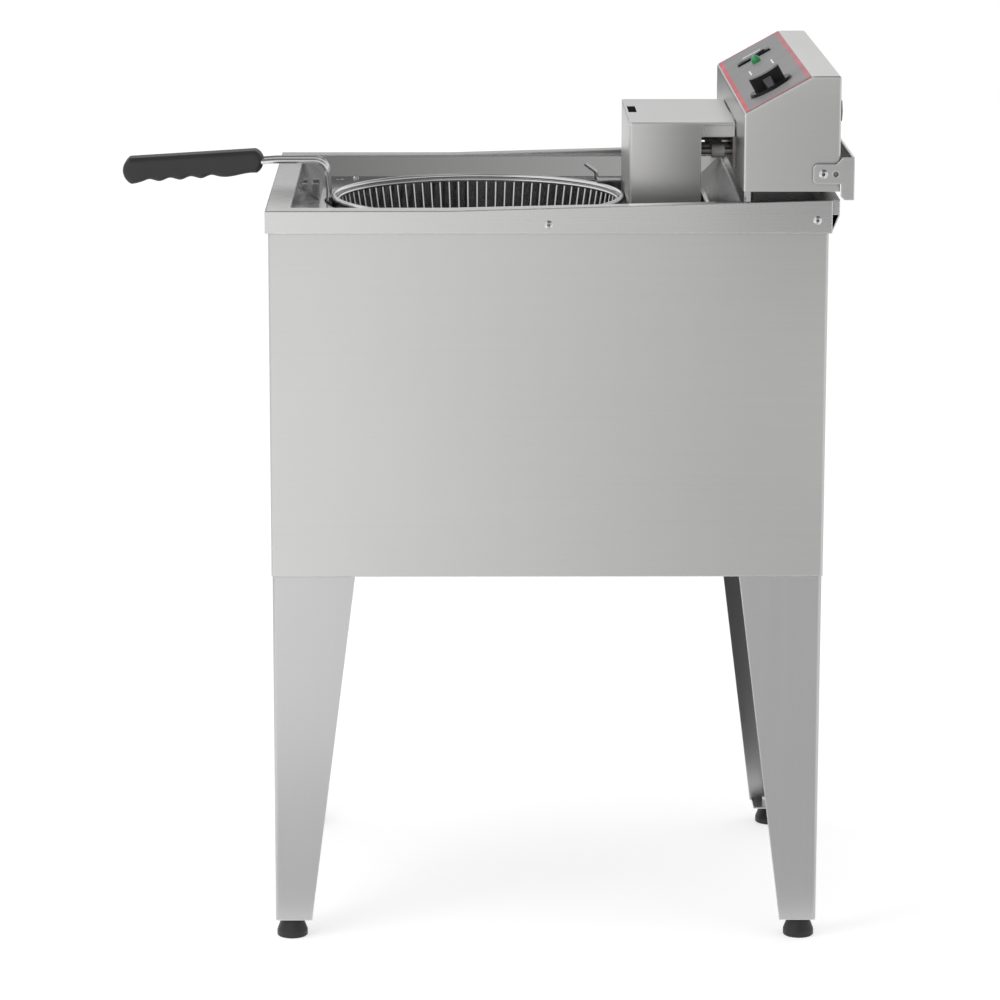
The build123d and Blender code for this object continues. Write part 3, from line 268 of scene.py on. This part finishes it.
# Heat marks of the element: waves per metre, shade, change of roughness, and relief in metres
BLOTCH_WAVES = 38.0
BLOTCH_DETAIL = 4.0
BLOTCH_SHADE = 0.7
HEAT_WAVES = 240.0
HEAT_WEAR = (0.8, 1.25)
CRUST_WAVES = 900.0
CRUST_RELIEF = 0.15
CRUST_DEPTH = 0.0002

# Moulded plastic: clouds in waves per metre, change of roughness, and relief in metres
MOULD_CLOUDS = 22.0
MOULD_ROUGH = 0.6
MOULD_WEAR = (0.85, 1.15)
MOULD_DEPTH = 0.00015


def brushed(name, color, roughness, along, contrast=0.02, relief=0.04):
    """Brushed sheet steel: long fine streaks, along Y on the level faces of sheets brushed along Z."""
    look = Shader(name, color, roughness, metallic=1.0)
    upright_grain = {"x": (STREAK, FINE, FINE), "z": (FINE, FINE, STREAK)}[along]
    level_grain = {"x": (STREAK, FINE, FINE), "z": (FINE, STREAK, FINE)}[along]
    upright = look.noise(1.0, rough=GRAIN_ROUGH, stretch=upright_grain)
    level = look.noise(1.0, rough=GRAIN_ROUGH, stretch=level_grain)
    normal = look.node("ShaderNodeNewGeometry").outputs["Normal"]
    levelness = look.math("ABSOLUTE", look.axes(normal)["Z"], 0)
    grain = look.choose(look.math("GREATER_THAN", levelness, LEVEL_NORMAL), upright, level)
    rounded = look.rounded(CORNER_RADIUS)
    tone_and_painted_light = look.shades(grain, color, 1 - contrast, 1 + contrast)
    # Painted highlight along the corners, then painted shade in the seams and under overhanging parts
    tone_and_painted_light = look.paint_corner_highlight(tone_and_painted_light, rounded, normal, CORNER_HIGHLIGHT, CORNER_HIGHLIGHT_SPAN)
    look.color(look.paint_recess_shade(tone_and_painted_light, SEAM_SHADE_REACH, SEAM_SHADE_TINT, SEAM_SHADE_SPAN, only_local=False))
    grain_wear = look.ramp(grain, -GRAIN_WEAR, GRAIN_WEAR)
    cloud_wear = look.ramp(look.noise(CLOUD_WAVES, SOFT_DETAIL), -CLOUD_WEAR, CLOUD_WEAR)
    look.roughness(look.math("ADD", look.math("ADD", grain_wear, cloud_wear), roughness))
    look.bump(grain, relief, GRAIN_DEPTH, rounded)
    return look.material


def polished(name, color, roughness, waves=600.0, grime_reach=0.0):
    """Bright metal with faint drawing marks, and painted shade in recesses narrower than the reach."""
    look = Shader(name, color, roughness, metallic=1.0)
    marks = look.noise(waves)
    tone_and_painted_light = look.shades(marks, color, *MARK_SHADES)
    # Painted shade in screw sockets and other recesses, where a reach is given
    if grime_reach:
        tone_and_painted_light = look.paint_recess_shade(tone_and_painted_light, grime_reach, RECESS_SHADE_TINT, RECESS_SHADE_SPAN, only_local=True)
    look.color(tone_and_painted_light)
    look.wear(marks, roughness, *MARK_WEAR)
    look.bump(marks, MARK_RELIEF, MARK_DEPTH)
    return look.material


def heated(name, color, roughness, blotched):
    """Heat-darkened element steel with brown blotches."""
    look = Shader(name, color, roughness, metallic=1.0)
    blotch = look.ramp(look.noise(BLOTCH_WAVES, BLOTCH_DETAIL), 0, 1)
    look.color(look.mix(blotch, shade(color, BLOTCH_SHADE), blotched))
    look.wear(look.noise(HEAT_WAVES), roughness, *HEAT_WEAR)
    look.bump(look.noise(CRUST_WAVES, SOFT_DETAIL), CRUST_RELIEF, CRUST_DEPTH)
    return look.material


def moulded(name, color, roughness, waves=1400.0, relief=0.25, cloudy=0.17, **sockets):
    """Moulded plastic: fine spark-eroded grain and a slight cloudiness."""
    look = Shader(name, color, roughness, **sockets)
    fine = look.noise(waves, SOFT_DETAIL, MOULD_ROUGH)
    look.color(look.shades(look.noise(MOULD_CLOUDS), color, 1 - cloudy, 1 + cloudy))
    look.wear(fine, roughness, *MOULD_WEAR)
    look.bump(fine, relief, MOULD_DEPTH)
    return look.material


finishes = {
    "cabinet_steel": (brushed, dict(color=(0.54, 0.54, 0.535), roughness=0.36, along="x")),
    "rim_steel": (
        brushed,
        dict(color=(0.55, 0.55, 0.545), roughness=0.27, along="x", contrast=0.012, relief=0.012),
    ),
    "leg_steel": (brushed, dict(color=(0.50, 0.50, 0.50), roughness=0.34, along="z")),
    "head_steel": (brushed, dict(color=(0.60, 0.595, 0.59), roughness=0.32, along="x")),
    "bright_steel": (polished, dict(color=(0.62, 0.62, 0.63), roughness=0.16, grime_reach=0.004)),
    "basket_wire": (polished, dict(color=(0.70, 0.70, 0.70), roughness=0.16, waves=900.0)),
    "element_steel": (heated, dict(color=(0.32, 0.30, 0.28), roughness=0.36, blotched=(0.46, 0.43, 0.39))),
    "black_plastic": (moulded, dict(color=(0.012, 0.012, 0.013), roughness=0.48)),
    "knob_black": (
        moulded,
        dict(color=(0.006, 0.006, 0.0065), roughness=0.36, waves=1800.0, relief=0.12, Specular_IOR_Level=0.2),
    ),
    "overlay_grey": (
        moulded,
        dict(
            color=(0.21, 0.21, 0.215),
            roughness=0.5,
            waves=2400.0,
            relief=0.05,
            cloudy=0.04,
            Specular_IOR_Level=0.15,
        ),
    ),
    "green_lens": (
        moulded,
        dict(color=(0.012, 0.24, 0.065), roughness=0.2, waves=300.0, relief=0.04, Coat_Weight=0.5),
    ),
    "grey_plastic": (moulded, dict(color=(0.052, 0.052, 0.056), roughness=0.5, Specular_IOR_Level=0.25)),
    "white_plastic": (moulded, dict(color=(0.66, 0.66, 0.65), roughness=0.5)),
    "red_plastic": (moulded, dict(color=(0.52, 0.10, 0.12), roughness=0.5, Specular_IOR_Level=0.15)),
    "white_ceramic": (moulded, dict(color=(0.42, 0.41, 0.38), roughness=0.5, waves=700.0)),
    "pressed_steel": (
        brushed,
        dict(color=(0.52, 0.52, 0.515), roughness=0.14, along="x", contrast=0.012, relief=0.004),
    ),
    # Dark copy of the sheet steel for the lugs: painted shade, not a darker metal
    "dull_steel": (brushed, dict(color=(0.20, 0.20, 0.20), roughness=0.30, along="z", relief=0.01)),
}
materials = {name: make(name, **values) for name, (make, values) in finishes.items()}

# The pressed well and the tank are smoother than the brushed sheets, and the lugs get a dark copy of the steel,
# which is painted shade
own_finish = {"well_liner": "pressed_steel", "oil_tank": "pressed_steel", "handle_guides": "dull_steel"}


def dress_nodes():
    """Give each CAD node the material of its slot, or its own finish."""
    for row in frame["record"]["subparts"]:
        mesh = nodes[row["node"]].data
        mesh.materials.clear()
        mesh.materials.append(materials[own_finish.get(row["node"], row["material_slot"])])


# The sloped panel in millimetres: up its slope, across to the user's left, and out of it
MM_PER_METRE = 1000
KNOB_ALONG = 41.8
KNOB_SEAT = 1.4
OVERLAY_TOP = 0.8
INK_ROOT = 0.05
INK_RISE = 0.12

# Red border: its reach, the band on three sides, and the two lines along the top
BORDER_LOW = 2.6
BORDER_HIGH = 86.0
BORDER_SIDE = 246.4
BORDER_BAND = 4.2
TOP_LINE = 1.5
TOP_GAP = 1.3

# White print: a bar to the user's left of the switch and a pair of lines near the middle
BAR_ALONG = (31.0, 55.2)
BAR_SIDE = (172.0, 179.0)
PAIR_STARTS = (28.7, 58.2)
PAIR_WIDTH = 2.0
PAIR_SIDE = (5.0, 43.0)

# Plate on the knob's pointer: half width, side and height from the knob's seat at its two ends
INLAY_TOP = (5.2, -8.4, 12.7)
INLAY_FOOT = (3.6, -24.0, 3.6)
INLAY_ROOT = 0.1
INLAY_RISE = 0.25

# The knob turns about a line square to the panel, so its joint places the panel
knob_at = Vector(joints["thermostat_turn"]["pos_m"])
knob_side = knob_at.y * MM_PER_METRE
panel_out = Vector(joints["thermostat_turn"]["axis"])
panel_up = Vector((panel_out.z, 0, -panel_out.x))
panel_low = Vector((knob_at.x, 0, knob_at.z)) - panel_up * KNOB_ALONG / MM_PER_METRE


def on_panel(along, side, height):
    """Point by millimetres up the slope, across to the user's left and out of the panel."""
    return panel_low + (panel_up * along + Vector((0, side, 0)) + panel_out * height) / MM_PER_METRE


def solid_between(shape, low, high):
    """Close two rings of equally many points into a solid."""
    low = [shape.verts.new(point) for point in low]
    high = [shape.verts.new(point) for point in high]
    shape.faces.new(high)
    shape.faces.new(reversed(low))
    for index in range(len(low)):
        after = (index + 1) % len(low)
        shape.faces.new((low[index], low[after], high[after], high[index]))


def add_piece(name, shape, body, slot):
    """Turn a finished shape into a piece that moves with a body."""
    bmesh.ops.recalc_face_normals(shape, faces=shape.faces)
    mesh = bpy.data.meshes.new(name)
    shape.to_mesh(mesh)
    shape.free()
    mesh.materials.append(materials[slot])
    piece = bpy.data.objects.new(name, mesh)
    scene.collection.objects.link(piece)
    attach(piece, body)


def ink(shape, corners):
    """Thin raised print with the given outline on the overlay."""
    low = [on_panel(along, side, OVERLAY_TOP - INK_ROOT) for along, side in corners]
    high = [on_panel(along, side, OVERLAY_TOP + INK_RISE) for along, side in corners]
    solid_between(shape, low, high)


def rectangle(low_along, high_along, low_side, high_side):
    return [(low_along, low_side), (high_along, low_side), (high_along, high_side), (low_along, high_side)]


def panel_border():
    """Red border of the overlay: a wide band on three sides and a double line along the top."""
    shape = bmesh.new()
    inner_high = BORDER_HIGH - TOP_LINE
    inner_side = BORDER_SIDE - BORDER_BAND
    outer = rectangle(BORDER_LOW, BORDER_HIGH, -BORDER_SIDE, BORDER_SIDE)
    inner = rectangle(BORDER_LOW + BORDER_BAND, inner_high, -inner_side, inner_side)
    for index in range(len(outer)):
        after = (index + 1) % len(outer)
        ink(shape, [outer[index], outer[after], inner[after], inner[index]])
    second_high = inner_high - TOP_GAP
    ink(shape, rectangle(second_high - TOP_LINE, second_high, -inner_side, inner_side))
    add_piece("panel_border", shape, "head", "red_plastic")


def panel_marks():
    """White print: a bar to the user's left of the switch and a pair of lines near the middle."""
    shape = bmesh.new()
    ink(shape, rectangle(*BAR_ALONG, *BAR_SIDE))
    for start in PAIR_STARTS:
        ink(shape, rectangle(start, start + PAIR_WIDTH, *PAIR_SIDE))
    add_piece("panel_marks", shape, "head", "white_plastic")


def knob_inlay():
    """Grey plate on the sloped face of the knob's pointer, narrower towards the skirt."""
    shape = bmesh.new()
    top_half, top_side, top_height = INLAY_TOP
    foot_half, foot_side, foot_height = INLAY_FOOT
    run = top_side - foot_side
    rise = top_height - foot_height
    slope = math.hypot(run, rise)
    corners = [
        (-top_half, top_side, top_height),
        (top_half, top_side, top_height),
        (foot_half, foot_side, foot_height),
        (-foot_half, foot_side, foot_height),
    ]
    rings = []
    for lift in (-INLAY_ROOT, INLAY_RISE):
        aside = knob_side - lift * rise / slope
        out = KNOB_SEAT + lift * run / slope
        ring = []
        for along, side, height in corners:
            ring.append(on_panel(KNOB_ALONG + along, aside + side, out + height))
        rings.append(ring)
    solid_between(shape, *rings)
    add_piece("knob_inlay", shape, "knob", "grey_plastic")


# Studio floor in metres, its brightness and its lift where it is seen, and the paper of the cards
FLOOR_SIZE = 60.0
FLOOR_COLOR = 0.5
FLOOR_CLOUD = 0.01
FLOOR_WAVES = 0.8
FLOOR_LIFT = 0.56
PAPER_COLOR = 0.02
MATT = 0.9

# Surroundings: plain light, and by the view's direction white that darkens overhead but not to the left
WORLD_LIGHT = 0.9
WHITE_BELOW = 0.28
DARK_ABOVE = 0.75
ZENITH = 0.16
LEFT_FROM = -0.15
LEFT_FULL = -0.5


def flat_sheet(name, width, depth):
    """Rectangle around its own centre."""
    x, y = width / 2, depth / 2
    mesh = bpy.data.meshes.new(name)
    mesh.from_pydata([(-x, -y, 0), (x, -y, 0), (x, y, 0), (-x, y, 0)], [], [(0, 1, 2, 3)])
    sheet = bpy.data.objects.new(name, mesh)
    scene.collection.objects.link(sheet)
    return sheet


def point_at(thing, at, aim):
    """Stand a lamp or a card in its place, facing what it lights."""
    thing.location = at
    thing.rotation_euler = (Vector(aim) - Vector(at)).to_track_quat("-Z", "Y").to_euler()


def stage_floor():
    """Level floor; what is seen of it is lifted to white outside the soft shadow."""
    floor = flat_sheet("floor", FLOOR_SIZE, FLOOR_SIZE)
    look = Shader("floor_white", grey(FLOOR_COLOR), MATT)
    cloud = look.ramp(look.noise(FLOOR_WAVES, SOFT_DETAIL), 0, 1)
    look.color(look.mix(cloud, grey(FLOOR_COLOR - FLOOR_CLOUD), grey(FLOOR_COLOR + FLOOR_CLOUD)))
    look.glow(look.math("MULTIPLY", look.is_seen(), FLOOR_LIFT))
    floor.data.materials.append(look.material)


def stage_world():
    """Plain soft light, and surroundings for what is seen: white, darker overhead but not to the left."""
    world = bpy.data.worlds.new("studio")
    world.use_nodes = True
    scene.world = world
    look = NodeTree(world.node_tree)
    light = look.tree.nodes["Background"]
    light.inputs["Color"].default_value = WHITE
    light.inputs["Strength"].default_value = WORLD_LIGHT
    seen = look.node("ShaderNodeBackground")
    seen.inputs["Color"].default_value = WHITE
    direction = look.axes(look.node("ShaderNodeTexCoord").outputs["Generated"])
    overhead = look.ramp(direction["Z"], 1.0, ZENITH, WHITE_BELOW, DARK_ABOVE)
    left = look.ramp(direction["X"], 0, 1, LEFT_FROM, LEFT_FULL)
    look.link(look.math("MAXIMUM", overhead, left), seen.inputs["Strength"])
    both = look.node("ShaderNodeMixShader")
    look.link(look.is_seen(), both.inputs[0])
    look.link(light.outputs[0], both.inputs[1])
    look.link(seen.outputs[0], both.inputs[2])
    look.link(both.outputs[0], look.tree.nodes["World Output"].inputs[0])


def softbox(name, at, aim, size, power):
    """Soft lamp that lights the plastics and the floor; the metal sees the cards instead."""
    light = bpy.data.lights.new(name, "AREA")
    light.shape = "RECTANGLE"
    light.size, light.size_y = size
    light.energy = power
    lamp = bpy.data.objects.new(name, light)
    point_at(lamp, at, aim)
    lamp.visible_camera = False
    lamp.visible_glossy = False
    scene.collection.objects.link(lamp)


def card(name, at, aim, size, start, end):
    """Studio card that only the metal sees, graded along its own X from one brightness to another."""
    width, height = size
    board = flat_sheet(name, width, height)
    point_at(board, at, aim)
    look = Shader(name + "_paper", grey(PAPER_COLOR), MATT)
    look.glow(look.ramp(look.axes(look.place)["X"], start, end, -width / 2, width / 2))
    board.data.materials.append(look.material)
    board.visible_camera = False
    board.visible_shadow = False
    board.visible_diffuse = False
    board.visible_transmission = False


def stage_lamps():
    """Soft lamps from the left front, the left top and the top."""
    softbox("key", at=(-1.1, -1.15, 0.75), aim=(-0.2, -0.2, 0.7), size=(0.8, 1.5), power=11)
    softbox("left_top", at=(-1.0, -0.5, 2.4), aim=(0, 0, 0.9), size=(1.3, 1.3), power=8)
    softbox("top", at=(0.2, 0.4, 3.4), aim=(0, 0, 0.8), size=(2.6, 2.6), power=12)


def stage_cards():
    """Cards on all four sides, for the legs, the head, the guard and the well, overhead and underneath."""
    card("front_card", at=(0.05, -1.0, 0.35), aim=(0.05, 0, 0.9), size=(1.1, 1.1), start=1.42, end=0.47)
    card("leg_card", at=(0.08, -0.575, 0.02), aim=(0.08, -0.525, 1.02), size=(1.1, 0.5), start=0.8, end=0.6)
    card("far_card", at=(0.08, 1.3, 0.35), aim=(0.08, 0, 0.35), size=(1.4, 0.7), start=1.2, end=0.7)
    card("left_card", at=(-1.5, 0.0, 0.4), aim=(0, 0, 0.4), size=(1.2, 0.7), start=1.1, end=0.5)
    card("back_card", at=(1.7, 0.0, 0.5), aim=(0, 0, 0.5), size=(1.2, 1.0), start=1.1, end=0.5)
    card("head_card", at=(0.43, -0.62, 0.9), aim=(0.43, 0, 0.9), size=(0.28, 0.24), start=0.62, end=0.37)
    card("guard_card", at=(0.222, -0.2, 0.917), aim=(0.222, 0, 0.917), size=(0.1, 0.1), start=0.95, end=0.2)
    card("well_card", at=(0.0, 1.5, 0.93), aim=(0.0, 0, 0.93), size=(1.8, 0.28), start=0.03, end=0.03)
    card("ceiling_card", at=(0.05, 0.25, 2.2), aim=(0.05, 0.25, 0), size=(0.9, 1.0), start=0.2, end=0.75)
    card("under_card", at=(0.085, 0.12, 0.22), aim=(0.085, 1, 0.22), size=(0.62, 0.4), start=0.04, end=0.04)


place_camera()
dress_nodes()
panel_border()
panel_marks()
knob_inlay()
stage_floor()
stage_world()
stage_lamps()
stage_cards()
